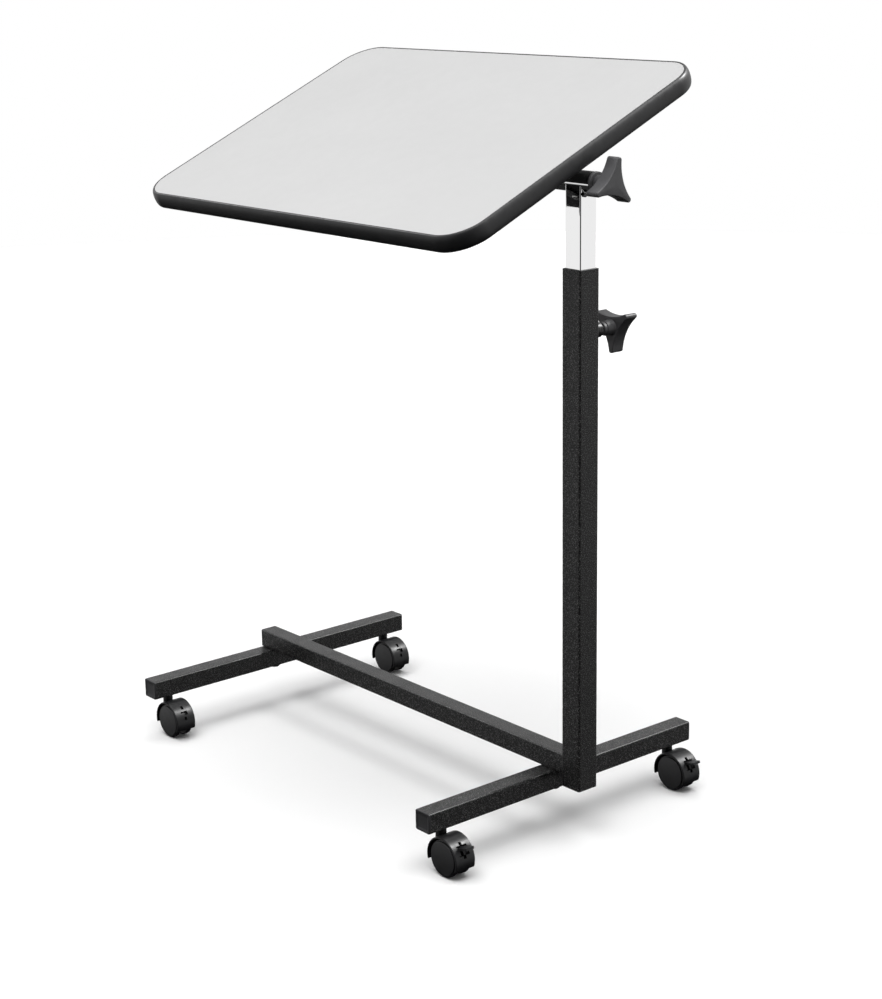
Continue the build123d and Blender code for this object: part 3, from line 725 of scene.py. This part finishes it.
# the camera, turned by its azimuth, elevation and roll and placed from the mast's foot
def addCamera():
    data = bpy.data.cameras.new("camera")
    data.lens, data.sensor_width, data.clip_end = view["lens"], view["sensor"], view["clipEnd"]
    camera = bpy.data.objects.new("camera", data)
    turn = (Matrix.Rotation(radians(view["azimuth"]), 4, "Z")
            @ Matrix.Rotation(radians(90 - view["elevation"]), 4, "X")
            @ Matrix.Rotation(radians(view["roll"]), 4, "Z"))
    camera.matrix_world = Matrix.Translation(Vector(view["place"]) + mastFoot) @ turn
    bpy.context.scene.collection.objects.link(camera)
    bpy.context.scene.camera = camera


studio = {
    "floorRadius": 5.0,
    "floorColour": (0.98, 0.98, 0.98),
    "soft": 0.40,  # the surround's strength for soft light
    "sharp": 0.9,  # and for reflections
    "dark": 0.02,  # what is left of it where it is dark
    "flagSide": (0.769, -0.639, 0.0),
    "flagEdge": (0.72, 0.93),
    "groundEdge": (-0.42, -0.27),
    "overhead": (2.85, 60, (0.1, -0.1, 1.0)),  # strength, spread in degrees, where it comes from
    "right": ((0.68, 1.68, 2.25), 0.6, 105),  # place, size, power
    "left": ((-2.5, -0.9, 2.3), 0.7, 35),
    "front": ((0.35, -1.0, 1.75), 0.6, 2.5),
}


# a flat disc of the floor's radius
def addFloor():
    angle = arc(0, 360, 97)[:-1]
    rim = studio["floorRadius"] * np.stack([np.cos(angle), np.sin(angle), 0 * angle], -1)
    mesh = bpy.data.meshes.new("floor")
    mesh.from_pydata(rim.tolist(), [], [tuple(range(len(rim)))])
    mesh.materials.append(startMaterial("paleFloor", studio["floorColour"], 0.8, 0, 0.1)[0])
    floor = bpy.data.objects.new("floor", mesh)
    floor.visible_diffuse = floor.visible_glossy = False
    bpy.context.scene.collection.objects.link(floor)


# a round lamp placed from the mast's foot and aimed at the middle of the whole
def addLight(name, place, size, energy, target=(-0.25, 0, 0.5)):
    data = bpy.data.lights.new(name, "AREA")
    data.shape, data.size, data.energy = "DISK", size, energy
    light = bpy.data.objects.new(name, data)
    aim = (Vector(target) - Vector(place)).to_track_quat("-Z", "Y").to_matrix().to_4x4()
    light.matrix_world = Matrix.Translation(Vector(place) + mastFoot) @ aim
    bpy.context.scene.collection.objects.link(light)
    return light


# an even soft light from high above
def addOverhead(strength, spread, fromSide):
    data = bpy.data.lights.new("overhead", "SUN")
    data.energy, data.angle = strength, radians(spread)
    light = bpy.data.objects.new("overhead", data)
    light.matrix_world = (-Vector(fromSide)).to_track_quat("-Z", "Y").to_matrix().to_4x4()
    bpy.context.scene.collection.objects.link(light)


# a smooth step from one value to another as a direction's share along an axis passes two limits
def worldStep(tree, axis, limits, first, second):
    direction, facing = tree.nodes.new("ShaderNodeTexCoord"), tree.nodes.new("ShaderNodeVectorMath")
    facing.operation = "DOT_PRODUCT"
    facing.inputs[1].default_value = axis
    edge = tree.nodes.new("ShaderNodeMapRange")
    edge.interpolation_type = "SMOOTHSTEP"
    edge.inputs["From Min"].default_value, edge.inputs["From Max"].default_value = limits
    edge.inputs["To Min"].default_value, edge.inputs["To Max"].default_value = first, second
    tree.links.new(direction.outputs["Generated"], facing.inputs[0])
    tree.links.new(facing.outputs["Value"], edge.inputs["Value"])
    return edge.outputs["Result"]


# a white surround for light and reflections, dark from below and on one side; seen directly it is white
def addSurround():
    world = bpy.data.worlds.new("studio")
    world.use_nodes = True
    tree = world.node_tree
    lit, shown = tree.nodes["Background"], tree.nodes.new("ShaderNodeBackground")
    flag = worldStep(tree, studio["flagSide"], studio["flagEdge"], 1.0, studio["dark"])
    ground = worldStep(tree, (0, 0, 1), studio["groundEdge"], studio["dark"], 1.0)
    path, choice = tree.nodes.new("ShaderNodeLightPath"), tree.nodes.new("ShaderNodeMixShader")
    level = tree.nodes.new("ShaderNodeMapRange")
    level.inputs["To Min"].default_value = studio["soft"]
    level.inputs["To Max"].default_value = studio["sharp"]
    tree.links.new(path.outputs["Is Glossy Ray"], level.inputs["Value"])
    both, strength = tree.nodes.new("ShaderNodeMath"), tree.nodes.new("ShaderNodeMath")
    both.operation = strength.operation = "MULTIPLY"
    tree.links.new(flag, both.inputs[0])
    tree.links.new(ground, both.inputs[1])
    tree.links.new(both.outputs[0], strength.inputs[0])
    tree.links.new(level.outputs["Result"], strength.inputs[1])
    tree.links.new(strength.outputs[0], lit.inputs["Strength"])
    lit.inputs["Color"].default_value = shown.inputs["Color"].default_value = (1, 1, 1, 1)
    tree.links.new(path.outputs["Is Camera Ray"], choice.inputs["Fac"])
    tree.links.new(lit.outputs[0], choice.inputs[1])
    tree.links.new(shown.outputs[0], choice.inputs[2])
    tree.links.new(choice.outputs[0], tree.nodes["World Output"].inputs["Surface"])
    bpy.context.scene.world = world


bpy.context.scene.view_settings.view_transform = "Standard"
addSurround()
addCamera()
addFloor()
addOverhead(*studio["overhead"])
addLight("front", *studio["front"])
for lightName in ("right", "left"):
    addLight(lightName, *studio[lightName]).visible_diffuse = False  # only its glints
print("studio ready")
